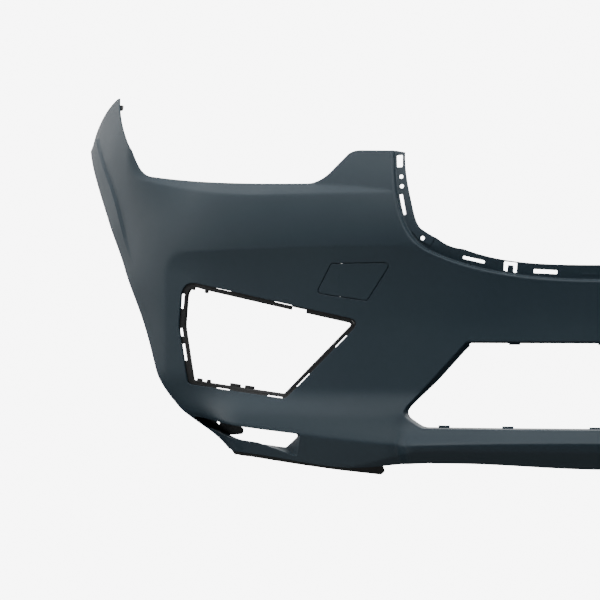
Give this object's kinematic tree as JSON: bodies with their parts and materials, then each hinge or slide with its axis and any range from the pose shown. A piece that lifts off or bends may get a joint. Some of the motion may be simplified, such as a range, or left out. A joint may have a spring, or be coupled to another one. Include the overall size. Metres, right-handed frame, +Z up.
{
  "type": "bumper cover",
  "caption": "Front bumper cover in primer with grille and lamp openings, a lower intake, side slots and a hinged towing-eye cover.",
  "frame": {"origin": "flat rear face of the carrier seat, in the middle of the flange under the grille opening", "axes": "+X to the vehicle's left, along the bumper; +Y rearwards, into the vehicle; +Z up"},
  "size_m": [1.8672, 0.5638, 0.647],
  "materials": {
    "primed_plastic": "satin slate-blue primer on moulded plastic",
    "black_plastic": "fine-grained raw black plastic",
    "black_rubbery_plastic": "dull flexible black",
    "steel": "zinc-plated steel",
    "spring_steel": "dark phosphated spring steel"
  },
  "bodies": {
    "bumper": {"bumper_skin": "primed_plastic", "tow_cover_hinge_pin": "steel", "lamp_trim_frame_right": "black_plastic", "slot_bracket_right": "black_plastic", "slot_bracket_screw_right": "steel", "corner_deflector_right": "black_rubbery_plastic", "deflector_rivet_right_1": "black_plastic", "deflector_rivet_right_2": "black_plastic", "deflector_rivet_right_3": "black_plastic", "wing_locator_clip_right": "black_plastic", "arch_spring_nut_right_1": "spring_steel", "arch_spring_nut_right_2": "spring_steel", "arch_spring_nut_right_3": "spring_steel", "tray_spring_nut_right_1": "spring_steel", "tray_spring_nut_right_2": "spring_steel", "lamp_trim_frame_left": "black_plastic", "slot_bracket_left": "black_plastic", "slot_bracket_screw_left": "steel", "corner_deflector_left": "black_rubbery_plastic", "deflector_rivet_left_1": "black_plastic", "deflector_rivet_left_2": "black_plastic", "deflector_rivet_left_3": "black_plastic", "wing_locator_clip_left": "black_plastic", "arch_spring_nut_left_1": "spring_steel", "arch_spring_nut_left_2": "spring_steel", "arch_spring_nut_left_3": "spring_steel", "tray_spring_nut_left_1": "spring_steel", "tray_spring_nut_left_2": "spring_steel"},
    "tow_cover": {"tow_eye_cover": "primed_plastic"}
  },
  "joints": [
    {"name": "tow_cover_hinge", "type": "hinge", "parent": "bumper", "child": "tow_cover", "pos_m": [-0.425, 0.04333, -0.013], "axis": [-0.0491, 0.1814, -0.9822], "range_deg": [0, 80]}
  ]
}
